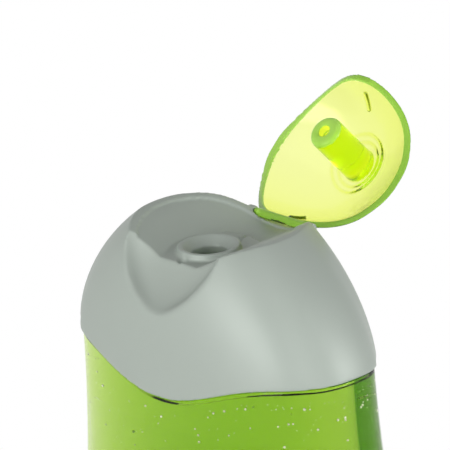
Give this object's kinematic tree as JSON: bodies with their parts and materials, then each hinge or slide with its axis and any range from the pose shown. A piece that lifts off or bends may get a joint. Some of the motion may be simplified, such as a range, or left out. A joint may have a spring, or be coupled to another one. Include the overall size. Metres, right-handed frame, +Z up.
{
  "type": "body wash bottle",
  "caption": "Flat-oval clear squeeze bottle of green shower gel with a domed grey press-fit cap, a thumb scoop and a translucent lime flip lid standing open.",
  "frame": {"origin": "middle of the plane that the base stands on", "axes": "+X along the wide side of the oval, -Y towards the front panel and its label, +Z up through the neck"},
  "size_m": [0.0802, 0.0653, 0.1803],
  "materials": {
    "clear_bottle": "clear gloss blown plastic",
    "green_gel": "clear tinted gel with air bubbles",
    "clear_film": "clear gloss film",
    "grey_cap": "satin pearl grey",
    "lime_lid": "translucent lime gloss"
  },
  "bodies": {
    "bottle_and_cap": {"bottle": "clear_bottle", "gel": "green_gel", "front_label": "clear_film", "cap": "grey_cap"},
    "flip_lid": {"lid": "lime_lid"}
  },
  "joints": [
    {"name": "lid_hinge", "type": "hinge", "parent": "bottle_and_cap", "child": "flip_lid", "pos_m": [0, 0.0167, 0.1572], "axis": [1, 0, 0], "range_deg": [0, 139]}
  ]
}
